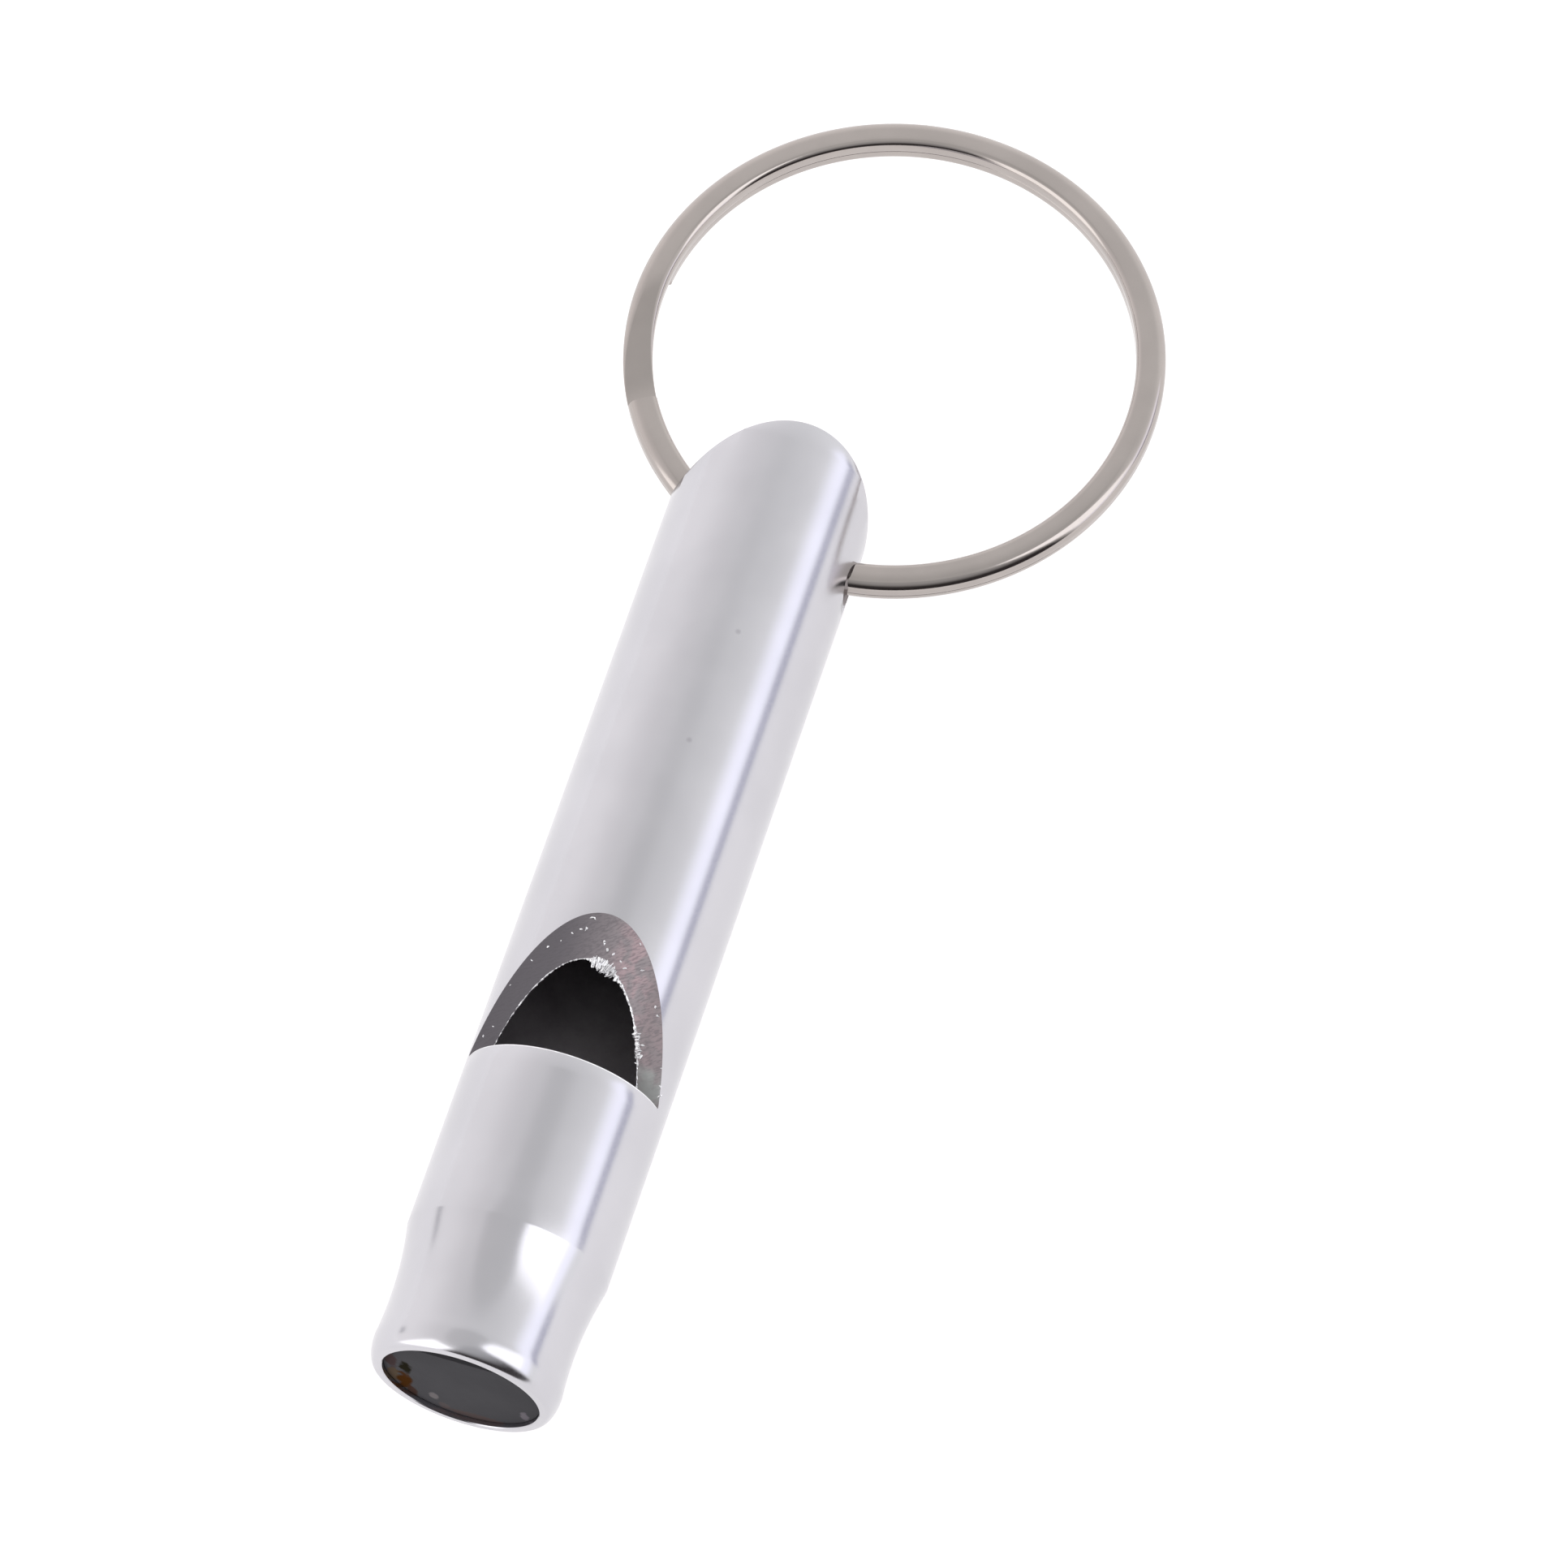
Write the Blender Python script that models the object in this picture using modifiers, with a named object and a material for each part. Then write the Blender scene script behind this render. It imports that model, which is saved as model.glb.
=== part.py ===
"""Tube whistle on a split key ring.

A bar of aluminium is turned outside and bored from the mouth, and a window is
milled into its top. A plug in the bore leaves a windway above it that blows at
the window's edge. The tail is rounded and drilled crosswise for the ring.
The whistle lies along Y, mouth at -Y and ring at +Y, with its window up.
"""

import math

import bmesh
import bpy
import numpy as np
from mathutils import Matrix, Vector

# Body, measured along its axis from the mouth
TUBE_RADIUS = 0.0045
TUBE_LENGTH = 0.0468
WALL = 0.0009
DRILL_POINT = math.radians(118)

# Neck and lip at the mouth: a shallow arc with a crisp shoulder, then a rounded lip turned in a little
NECK_LENGTH = 0.0064
WAIST_PLACE = 0.0028
WAIST_DEPTH = 0.00038
LIP_ROUNDING = 0.0011
LIP_TURN_IN = 0.0001
MOUTH_LAND = 0.0003

# Window: a straight cut down from the top, then a flat ramp up to the tube's surface
WINDOW_PLACE = 0.0143
WINDOW_LENGTH = 0.0068
WINDOW_DEPTH = 0.00307

# Plug in the mouth
PLUG_RECESS = 0.0010
PLUG_OVERRUN = 0.0004
WINDWAY_HEIGHT = 0.0012
PLUG_CLEARANCE = 0.0002

# Tail: rounded across the tube, the rounding turned a little from the window's line
TAIL_ROUND_RADIUS = 0.0047
TAIL_TURN = math.radians(17.4)
HOLE_TO_TIP = 0.00395
HOLE_SKEW = math.radians(15.2)
CHAMBER_TO_HOLE = 0.0018

# Split ring: one flat oval wire wound nearly twice round, with a jog between its two layers
RING_MEAN_RADIUS = 0.01162
WIRE_WIDTH = 0.00134
WIRE_HEIGHT = 0.00064
LAYER_GAP = 0.00043
JOG_ARC = math.radians(34)
JOG_PLACE = math.radians(199.5)
RING_CLEARANCE = 0.0003

# Fineness of the round shapes
BODY_SIDES = 72
CUTTER_SIDES = 48
NECK_STEPS = 10
LIP_STEPS = 8
RING_STEPS = 72
WIRE_END_STEPS = 5

# Sizes that follow from those above
BORE_RADIUS = TUBE_RADIUS - WALL
MOUTH_RADIUS = BORE_RADIUS - LIP_TURN_IN
WAIST_RADIUS = TUBE_RADIUS - WAIST_DEPTH
NECK_ARC = ((NECK_LENGTH - WAIST_PLACE) ** 2 + WAIST_DEPTH ** 2) / (2 * WAIST_DEPTH)
LAYER_RISE = WIRE_HEIGHT + LAYER_GAP
HALF_HOLE = TUBE_RADIUS / math.cos(HOLE_SKEW)
WIRE_BOW = RING_MEAN_RADIUS - math.sqrt(RING_MEAN_RADIUS ** 2 - HALF_HOLE ** 2)
RING_REACH = RING_MEAN_RADIUS - WIRE_BOW / 2
END_RADIUS = WIRE_HEIGHT / 2
WIRE_CORNER = math.hypot(WIRE_BOW / 2 + WIRE_WIDTH / 2 - END_RADIUS, LAYER_RISE / 2) + END_RADIUS
HOLE_RADIUS = WIRE_CORNER + RING_CLEARANCE
HOLE_PLACE = TUBE_LENGTH - HOLE_TO_TIP
HOLE_HALF_SPAN = HOLE_RADIUS / math.cos(HOLE_SKEW) + TUBE_RADIUS * math.tan(HOLE_SKEW)
CHAMBER_TIP = HOLE_PLACE - HOLE_HALF_SPAN - CHAMBER_TO_HOLE
CHAMBER_END = CHAMBER_TIP - BORE_RADIUS / math.tan(DRILL_POINT / 2)
TAIL_CENTRE = TUBE_LENGTH - TAIL_ROUND_RADIUS
PLUG_RADIUS = BORE_RADIUS - PLUG_CLEARANCE
PLUG_FLAT = BORE_RADIUS - WINDWAY_HEIGHT
PLUG_END = WINDOW_PLACE + PLUG_OVERRUN
CUT_REACH = 3 * TUBE_RADIUS


def make_material(name, colour, roughness, metallic):
    """A plain Principled material."""
    material = bpy.data.materials.new(name)
    material.use_nodes = True
    shader = material.node_tree.nodes["Principled BSDF"]
    shader.inputs["Base Color"].default_value = (*colour, 1.0)
    shader.inputs["Roughness"].default_value = roughness
    shader.inputs["Metallic"].default_value = metallic
    material.diffuse_color = (*colour, 1.0)
    return material


def new_object(name, data, collection, parent=None):
    """An object round some data, in its collection and under its parent."""
    obj = bpy.data.objects.new(name, data)
    collection.objects.link(obj)
    obj.parent = parent
    return obj


def mesh_from(name, bm):
    """A mesh from a finished bmesh."""
    bmesh.ops.recalc_face_normals(bm, faces=bm.faces)
    mesh = bpy.data.meshes.new(name)
    bm.to_mesh(mesh)
    bm.free()
    return mesh


def as_cutter(obj):
    """Marks a shape that only cuts others."""
    obj.hide_render = True
    obj.display_type = "WIRE"
    return obj


def cut(target, cutter):
    """Takes the cutter's space out of the target."""
    modifier = target.modifiers.new(cutter.name, "BOOLEAN")
    modifier.operation = "DIFFERENCE"
    modifier.solver = "EXACT"
    modifier.object = cutter


def smooth(mesh, angle=math.radians(25)):
    """Shades round faces smooth and keeps the real edges."""
    mesh.shade_smooth()
    mesh.set_sharp_from_angle(angle=angle)


def ease(share):
    """Goes from 0 to 1 with a level start and a level end."""
    return (1 - math.cos(math.pi * share)) / 2


def neck_radius(place):
    """Radius of the neck's arc at a place along the axis."""
    return WAIST_RADIUS + NECK_ARC - math.sqrt(NECK_ARC ** 2 - (place - WAIST_PLACE) ** 2)


def body_profile():
    """Radius and place along the axis: down the outside to the mouth, then up inside the bore."""
    points = [(0.0, TUBE_LENGTH), (TUBE_RADIUS, TUBE_LENGTH)]
    for i in range(NECK_STEPS + 1):
        place = NECK_LENGTH + (LIP_ROUNDING - NECK_LENGTH) * i / NECK_STEPS
        points.append((neck_radius(place), place))
    land = MOUTH_RADIUS + MOUTH_LAND
    lip = neck_radius(LIP_ROUNDING) - land
    for i in range(1, LIP_STEPS + 1):
        turn = math.pi / 2 * i / LIP_STEPS
        points.append((land + lip * math.cos(turn), LIP_ROUNDING * (1 - math.sin(turn))))
    points.append((MOUTH_RADIUS, 0.0))
    points.append((MOUTH_RADIUS, LIP_ROUNDING / 2))
    points.append((BORE_RADIUS, LIP_ROUNDING))
    points.append((BORE_RADIUS, CHAMBER_END))
    points.append((0.0, CHAMBER_TIP))
    return points


def turned_body(collection, root, material):
    """The body as it comes off the lathe, turned from its profile with the tail at +Y."""
    bm = bmesh.new()
    verts = [bm.verts.new((radius, 0.0, place)) for radius, place in body_profile()]
    for first, second in zip(verts, verts[1:]):
        bm.edges.new((first, second))
    mesh = bpy.data.meshes.new("whistle_body")
    bm.to_mesh(mesh)
    bm.free()
    mesh.materials.append(material)
    body = new_object("whistle_body", mesh, collection, root)
    body.rotation_euler = (-math.pi / 2, 0.0, 0.0)
    screw = body.modifiers.new("turning", "SCREW")
    screw.axis = "Z"
    screw.steps = BODY_SIDES
    screw.render_steps = BODY_SIDES
    screw.use_merge_vertices = True
    screw.merge_threshold = 0.000001
    screw.use_smooth_shade = True
    return body


def prism(name, outline, collection, root, rotation):
    """A flat outline made as thick as the cutters need, on both sides of its plane."""
    bm = bmesh.new()
    verts = [bm.verts.new((x, y, -CUT_REACH)) for x, y in outline]
    face = bm.faces.new(verts)
    side = bmesh.ops.extrude_face_region(bm, geom=[face])["geom"]
    moved = [item for item in side if isinstance(item, bmesh.types.BMVert)]
    bmesh.ops.translate(bm, vec=(0.0, 0.0, 2 * CUT_REACH), verts=moved)
    cutter = new_object(name, mesh_from(name, bm), collection, root)
    cutter.rotation_euler = rotation
    return as_cutter(cutter)


def window_cutter(collection, root):
    """The wedge that the window's straight cut and ramp leave, its outline in the YZ plane."""
    low = TUBE_RADIUS - WINDOW_DEPTH
    rise = CUT_REACH / WINDOW_DEPTH
    outline = [
        (WINDOW_PLACE, low),
        (WINDOW_PLACE + WINDOW_LENGTH * rise, low + CUT_REACH),
        (WINDOW_PLACE, low + CUT_REACH),
    ]
    turn = Matrix(((0, 0, 1), (1, 0, 0), (0, 1, 0))).to_euler()
    return prism("window_cutter", outline, collection, root, turn)


def tail_cutter(collection, root):
    """What the rounding takes off the tail, its outline across the tube and along it."""
    top = TUBE_LENGTH + CUT_REACH
    outline = [(CUT_REACH, TAIL_CENTRE), (CUT_REACH, top), (-CUT_REACH, top), (-CUT_REACH, TAIL_CENTRE)]
    for i in range(CUTTER_SIDES + 1):
        angle = math.pi * (1 - i / CUTTER_SIDES)
        along = TAIL_CENTRE + TAIL_ROUND_RADIUS * math.sin(angle)
        outline.append((TAIL_ROUND_RADIUS * math.cos(angle), along))
    return prism("tail_cutter", outline, collection, root, (0.0, TAIL_TURN, 0.0))


def hole_cutter(collection, hinge):
    """The drill that makes the ring's hole, along the hinge's own X."""
    bm = bmesh.new()
    bmesh.ops.create_cone(
        bm,
        cap_ends=True,
        segments=CUTTER_SIDES,
        radius1=HOLE_RADIUS,
        radius2=HOLE_RADIUS,
        depth=2 * CUT_REACH,
    )
    cutter = new_object("hole_cutter", mesh_from("hole_cutter", bm), collection, hinge)
    cutter.rotation_euler = (0.0, math.pi / 2, 0.0)
    return as_cutter(cutter)


def windway_plug(collection, root, material):
    """The round block in the bore, with a flat on top that leaves the windway."""
    length = PLUG_END - PLUG_RECESS
    bm = bmesh.new()
    bmesh.ops.create_cone(
        bm, cap_ends=True, segments=BODY_SIDES, radius1=PLUG_RADIUS, radius2=PLUG_RADIUS, depth=length
    )
    bmesh.ops.rotate(bm, verts=bm.verts, matrix=Matrix.Rotation(-math.pi / 2, 3, "X"))
    cut_off = bmesh.ops.bisect_plane(
        bm,
        geom=bm.verts[:] + bm.edges[:] + bm.faces[:],
        plane_co=(0.0, 0.0, PLUG_FLAT),
        plane_no=(0.0, 0.0, 1.0),
        clear_outer=True,
    )
    rim = [item for item in cut_off["geom_cut"] if isinstance(item, bmesh.types.BMEdge)]
    bmesh.ops.contextual_create(bm, geom=rim)
    mesh = mesh_from("fipple_plug", bm)
    smooth(mesh)
    mesh.materials.append(material)
    plug = new_object("fipple_plug", mesh, collection, root)
    plug.location = (0.0, PLUG_RECESS + length / 2, 0.0)
    return plug


def wire_section(collection, hinge):
    """The wire's flat oval section, as a closed guide curve."""
    half_flat = WIRE_WIDTH / 2 - END_RADIUS
    outline = []
    for side in (1, -1):
        for i in range(WIRE_END_STEPS + 1):
            angle = side * math.pi * (i / WIRE_END_STEPS - 0.5)
            x = side * (half_flat + END_RADIUS * math.cos(angle))
            outline.append((x, END_RADIUS * math.sin(angle)))
    curve = bpy.data.curves.new("wire_section", "CURVE")
    curve.dimensions = "2D"
    curve.fill_mode = "NONE"
    spline = curve.splines.new("POLY")
    spline.points.add(len(outline) - 1)
    for point, (x, y) in zip(spline.points, outline):
        point.co = (x, y, 0.0, 1.0)
    spline.use_cyclic_u = True
    return as_cutter(new_object("wire_section", curve, collection, hinge))


def wire_path():
    """The wire's middle line round the ring's centre: a low layer, the jog and a high layer."""
    turn = 2 * math.pi
    start = JOG_PLACE - JOG_ARC / 2
    length = 2 * turn - JOG_ARC
    count = round(length / turn * RING_STEPS)
    points = []
    for i in range(count + 1):
        travelled = length * i / count
        climb = min(max((travelled - (turn - JOG_ARC)) / JOG_ARC, 0.0), 1.0)
        angle = start - travelled
        height = LAYER_RISE * (ease(climb) - 0.5)
        points.append(Vector((RING_MEAN_RADIUS * math.cos(angle), RING_MEAN_RADIUS * math.sin(angle), height)))
    return points


def least_gap(mesh):
    """The smallest distance between points of the wire that lie half a turn or more apart on it."""
    places = np.array([vertex.co[:] for vertex in mesh.vertices])
    path = np.array([point[:] for point in wire_path()]) + np.array((0.0, RING_REACH, 0.0))
    rows = np.linalg.norm(places[:, None, :] - path[None, :, :], axis=2).argmin(axis=1)
    least = math.inf
    for row in range(len(path)):
        here = places[rows == row]
        later = places[rows >= row + RING_STEPS // 2]
        if len(here) and len(later):
            span = np.linalg.norm(here[:, None, :] - later[None, :, :], axis=2)
            least = min(least, float(span.min()))
    return least


def split_ring(collection, guides, hinge, material):
    """The ring: the wire's section swept along its path, made a mesh with its ends closed."""
    path = wire_path()
    curve = bpy.data.curves.new("ring_wire", "CURVE")
    curve.dimensions = "3D"
    curve.twist_mode = "Z_UP"
    curve.bevel_mode = "OBJECT"
    curve.bevel_object = wire_section(guides, hinge)
    curve.use_fill_caps = True
    spline = curve.splines.new("POLY")
    spline.points.add(len(path) - 1)
    for point, place in zip(spline.points, path):
        point.co = (place.x, place.y + RING_REACH, place.z, 1.0)
    wire = new_object("ring_wire", curve, collection, hinge)
    bpy.context.view_layer.update()
    swept = wire.evaluated_get(bpy.context.evaluated_depsgraph_get())
    mesh = bpy.data.meshes.new_from_object(swept)
    bpy.data.objects.remove(wire)
    gap = least_gap(mesh)
    bm = bmesh.new()
    bm.from_mesh(mesh)
    bmesh.ops.remove_doubles(bm, verts=bm.verts, dist=0.000001)
    bmesh.ops.recalc_face_normals(bm, faces=bm.faces)
    bm.to_mesh(mesh)
    bm.free()
    mesh.name = "split_ring"
    mesh.materials.clear()
    mesh.materials.append(material)
    smooth(mesh, math.radians(40))
    ring = new_object("split_ring", mesh, collection, hinge)
    print(f"split_ring: least gap of the wire to itself {gap * 1000:.3f} mm")
    return ring


def bounds_of(objects):
    """Lowest and highest corner of the finished shapes."""
    bpy.context.view_layer.update()
    graph = bpy.context.evaluated_depsgraph_get()
    corners = []
    for obj in objects:
        shape = obj.evaluated_get(graph)
        mesh = shape.to_mesh()
        corners += [shape.matrix_world @ vertex.co for vertex in mesh.vertices]
        shape.to_mesh_clear()
    places = np.array([corner[:] for corner in corners])
    return places.min(axis=0), places.max(axis=0)


def main():
    for obj in list(bpy.data.objects):
        bpy.data.objects.remove(obj, do_unlink=True)

    parts = bpy.data.collections.new("tube_whistle")
    cutters = bpy.data.collections.new("cutters")
    bpy.context.scene.collection.children.link(parts)
    bpy.context.scene.collection.children.link(cutters)

    aluminium = make_material("satin_aluminium", (0.66, 0.66, 0.69), 0.3, 1.0)
    plastic = make_material("dark_plastic", (0.045, 0.045, 0.05), 0.5, 0.0)
    nickel = make_material("nickel_plate", (0.55, 0.51, 0.48), 0.22, 1.0)

    root = new_object("whistle_frame", None, parts)
    hinge = new_object("ring_hinge", None, parts, root)
    hinge.location = (0.0, HOLE_PLACE, 0.0)
    hinge.rotation_euler = (0.0, 0.0, -HOLE_SKEW)

    body = turned_body(parts, root, aluminium)
    cut(body, window_cutter(cutters, root))
    cut(body, tail_cutter(cutters, root))
    cut(body, hole_cutter(cutters, hinge))
    plug = windway_plug(parts, root, plastic)
    ring = split_ring(parts, cutters, hinge, nickel)

    low, high = bounds_of([body, plug, ring])
    middle = (low + high) / 2
    root.location = (-middle[0], -middle[1], -low[2])
    bpy.context.view_layer.update()
    pivot = hinge.matrix_world.translation
    axis = hinge.matrix_world.to_3x3() @ Vector((1.0, 0.0, 0.0))
    print("whole size in mm", np.round((high - low) * 1000, 3))
    print("ring hinge in m", np.round(pivot, 6), "axis", np.round(axis, 6))
    print("mouth centre in m", np.round(root.matrix_world.translation, 6))


main()
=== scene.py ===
import math

import bmesh
import bpy
from mathutils import Matrix, Vector, noise


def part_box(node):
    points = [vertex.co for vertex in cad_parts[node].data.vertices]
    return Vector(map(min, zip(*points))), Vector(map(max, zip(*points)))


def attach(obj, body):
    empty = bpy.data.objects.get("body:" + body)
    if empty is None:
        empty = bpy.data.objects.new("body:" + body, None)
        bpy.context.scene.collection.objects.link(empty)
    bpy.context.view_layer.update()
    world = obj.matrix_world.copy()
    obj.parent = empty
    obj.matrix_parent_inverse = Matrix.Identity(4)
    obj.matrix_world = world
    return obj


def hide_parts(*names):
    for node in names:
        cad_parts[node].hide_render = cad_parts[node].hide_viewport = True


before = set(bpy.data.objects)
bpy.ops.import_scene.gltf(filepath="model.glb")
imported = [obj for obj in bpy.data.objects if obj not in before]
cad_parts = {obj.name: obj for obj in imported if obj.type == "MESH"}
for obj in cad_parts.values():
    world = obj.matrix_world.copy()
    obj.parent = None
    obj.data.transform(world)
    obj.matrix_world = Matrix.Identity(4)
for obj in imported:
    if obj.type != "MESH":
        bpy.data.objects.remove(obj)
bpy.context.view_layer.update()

# Camera: a long lens looks down on the whistle from its mouth's side, a little from the right,
# as in the photograph. All places below are counted from the middle of the mouth.
body_low, body_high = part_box("whistle_body")
mouth = Vector(((body_low.x + body_high.x) / 2, body_low.y, (body_low.z + body_high.z) / 2))
azimuth = math.radians(20.589)
elevation = math.radians(63.718)
roll = math.radians(-3.180)
distance = 0.31942
aim = mouth + Vector((0.0, 0.025, 0.0))
picture_width = 1932
shift_right = 177.21
shift_up = 121.56
back = Vector((
    math.sin(azimuth) * math.cos(elevation),
    -math.cos(azimuth) * math.cos(elevation),
    math.sin(elevation),
))
level = Vector((math.cos(azimuth), math.sin(azimuth), 0.0))
upright = back.cross(level)
across = math.cos(roll) * level + math.sin(roll) * upright
upward = math.cos(roll) * upright - math.sin(roll) * level
camera_data = bpy.data.cameras.new("camera")
camera_data.sensor_width = 36.0
camera_data.lens = 167.911
camera_data.shift_x = shift_right / picture_width
camera_data.shift_y = shift_up / picture_width
camera = bpy.data.objects.new("camera", camera_data)
bpy.context.scene.collection.objects.link(camera)
stand = Matrix((across, upward, back)).transposed().to_4x4()
stand.translation = aim + back * distance
camera.matrix_world = stand
bpy.context.scene.camera = camera
bpy.context.scene.view_settings.view_transform = "Standard"


# Room: a pale tent of light, dimmer overhead, with a white softbox and a lilac one on the right, a lit
# panel at the near left, a black screen towards the camera and two dark strips at the table's ends.
def add_node(tree, kind, inputs=(), **settings):
    """A shader node with its settings, and a value or another node's output at each named input."""
    made = tree.nodes.new(kind)
    for name, value in settings.items():
        setattr(made, name, value)
    for key, value in dict(inputs).items():
        if isinstance(value, bpy.types.NodeSocket):
            tree.links.new(value, made.inputs[key])
        else:
            made.inputs[key].default_value = value
    return made


def work_out(tree, operation, *values):
    """The result of one sum on values or other nodes' outputs."""
    return add_node(tree, "ShaderNodeMath", dict(enumerate(values)), operation=operation).outputs[0]


def fade(tree, value, start, end, low=0.0, high=1.0):
    """Goes smoothly from low to high while the value goes from start to end."""
    inputs = {"Value": value, "From Min": start, "From Max": end, "To Min": low, "To Max": high}
    return add_node(tree, "ShaderNodeMapRange", inputs, interpolation_type="SMOOTHSTEP").outputs["Result"]


def blend_colours(tree, share, first, second, mode="MIX"):
    """Goes from the first colour to the second as the share goes from 0 to 1."""
    inputs = {0: share, 6: first, 7: second}
    return add_node(tree, "ShaderNodeMix", inputs, data_type="RGBA", blend_type=mode).outputs[2]


def heading(turn, rise):
    """The direction at a turn from +Y towards +X and a rise from level, in degrees."""
    turn, rise = math.radians(turn), math.radians(rise)
    return Vector((math.cos(rise) * math.sin(turn), math.cos(rise) * math.cos(turn), math.sin(rise)))


def hang_panel(tree, direction, below, colour, corners, soft):
    """A panel over the light below it, its corners given as turn and rise and its edge soft, in degrees."""
    points = [heading(turn, rise) for turn, rise in corners]
    middle = sum(points, Vector())
    edge = math.sin(math.radians(soft))
    share = None
    for first, second in zip(points, points[1:] + points[:1]):
        inward = first.cross(second).normalized()
        if inward.dot(middle) < 0:
            inward.negate()
        reach = add_node(tree, "ShaderNodeVectorMath", {0: direction, 1: inward}, operation="DOT_PRODUCT")
        part = fade(tree, reach.outputs["Value"], -edge, edge)
        if share is not None:
            part = work_out(tree, "MULTIPLY", share, part)
        share = part
    return blend_colours(tree, share, below, colour)


room = bpy.data.worlds.new("room")
bpy.context.scene.world = room
room.use_nodes = True
tent = room.node_tree
tent.nodes.clear()
way = add_node(tent, "ShaderNodeTexCoord").outputs["Generated"]
parts = add_node(tent, "ShaderNodeSeparateXYZ", {0: way})
tone = add_node(tent, "ShaderNodeValToRGB", {0: parts.outputs["Z"]})
tent_steps = (
    (0.0, 1.17), (0.17, 1.16), (0.34, 1.15), (0.5, 1.10), (0.64, 1.03), (0.77, 0.955),
    (0.85, 0.925), (0.873, 0.92), (0.90, 0.84), (0.918, 0.76), (1.0, 0.73),
)
while len(tone.color_ramp.elements) < len(tent_steps):
    tone.color_ramp.elements.new(0.5)
for stop, (place, value) in zip(tone.color_ramp.elements, tent_steps):
    stop.position = place
    stop.color = (value, value, value, 1.0)
white = (1, 1, 1, 1)
warm_left = (1.01, 0.99, 0.995, 1)
right_share = fade(tent, parts.outputs["X"], start=-0.8, end=0.2)
tint = blend_colours(tent, right_share, warm_left, white)
light = blend_colours(tent, 1.0, tone.outputs["Color"], tint, "MULTIPLY")
dark_strip = ((55, -3), (74, -3), (74, 10), (55, 10))
dark_strip_light = (0.64, 0.645, 0.77, 1)
light = hang_panel(tent, way, light, dark_strip_light, dark_strip, soft=3.0)
lilac_box = ((50, 8.8), (100, 8.8), (100, 42), (50, 42))
lilac_share = fade(tent, parts.outputs["Z"], start=0.59, end=0.31)
lilac_light = blend_colours(tent, lilac_share, light, (1.54, 1.55, 1.70, 1))
light = hang_panel(tent, way, light, lilac_light, lilac_box, soft=3.0)
softbox = ((73, 21), (99, 21), (112, 62), (95, 73), (80, 72), (66, 62))
softbox_light = (2.0, 2.0, 2.05, 1)
light = hang_panel(tent, way, light, softbox_light, softbox, soft=2.5)
near_panel = ((-158, -2), (-110, -2), (-110, 50), (-158, 50))
near_panel_light = (1.95, 1.93, 1.93, 1)
light = hang_panel(tent, way, light, near_panel_light, near_panel, soft=4.0)
screen = ((103, 0), (150, -1), (198, 0), (198, 74), (121, 78))
screen_low = (0.05, 0.044, 0.046, 1)
screen_high = (0.58, 0.58, 0.59, 1)
screen_share = fade(tent, parts.outputs["Z"], start=0.42, end=0.97)
screen_light = blend_colours(tent, screen_share, screen_low, screen_high)
light = hang_panel(tent, way, light, screen_light, screen, soft=5.0)
left_strip = ((-87, 2.5), (-78, 2.5), (-78, 9), (-87, 9))
left_strip_light = (0.62, 0.62, 0.64, 1)
light = hang_panel(tent, way, light, left_strip_light, left_strip, soft=1.5)
seen = add_node(tent, "ShaderNodeLightPath").outputs["Is Camera Ray"]
light = blend_colours(tent, seen, light, white)
glow = add_node(tent, "ShaderNodeBackground", {"Color": light, "Strength": 1.0})
add_node(tent, "ShaderNodeOutputWorld", {"Surface": glow.outputs[0]})

# Floor: a white table lit from below, so that nothing on it casts a hard shadow. It lies a hair
# below the whistle and is stage, no part of the object.
table_radius = 1.2
table_drop = 0.00002
table_shape = bmesh.new()
bmesh.ops.create_circle(table_shape, cap_ends=True, segments=64, radius=table_radius)
bmesh.ops.translate(table_shape, verts=table_shape.verts, vec=(0.0, 0.0, -table_drop))
table_mesh = bpy.data.meshes.new("table")
table_shape.to_mesh(table_mesh)
table_shape.free()
table = bpy.data.objects.new("table", table_mesh)
bpy.context.scene.collection.objects.link(table)
table_finish = bpy.data.materials.new("lit_table")
table_finish.use_nodes = True
table_tree = table_finish.node_tree
table_place = add_node(table_tree, "ShaderNodeTexCoord").outputs["Object"]
cloud = add_node(table_tree, "ShaderNodeTexNoise", {"Vector": table_place, "Scale": 9.0, "Detail": 3.0})
table_shader = table_tree.nodes["Principled BSDF"]
table_dark = (0.36, 0.36, 0.36, 1)
table_light = (0.38, 0.38, 0.38, 1)
table_colour = blend_colours(table_tree, cloud.outputs["Fac"], table_dark, table_light)
table_tree.links.new(table_colour, table_shader.inputs["Base Color"])
table_shader.inputs["Roughness"].default_value = 0.9
table_shader.inputs["Emission Color"].default_value = (1.0, 0.985, 0.99, 1.0)
table_shader.inputs["Emission Strength"].default_value = 0.80
table_mesh.materials.append(table_finish)


# Whistle body: one bar of 9 mm aluminium, turned with a waisted mouthpiece and a rounded lip, bored
# blind from the mouth and anodised clear after a light bead blast, which leaves it satin.
def new_object(name, mesh):
    """An object round a mesh, at the origin."""
    made = bpy.data.objects.new(name, mesh)
    bpy.context.scene.collection.objects.link(made)
    return made


def mesh_from(name, shape, finishes=()):
    """A mesh from a finished bmesh, its faces out, with its finishes."""
    bmesh.ops.recalc_face_normals(shape, faces=shape.faces)
    mesh = bpy.data.meshes.new(name)
    shape.to_mesh(mesh)
    shape.free()
    for finish in finishes:
        mesh.materials.append(finish)
    return mesh


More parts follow.
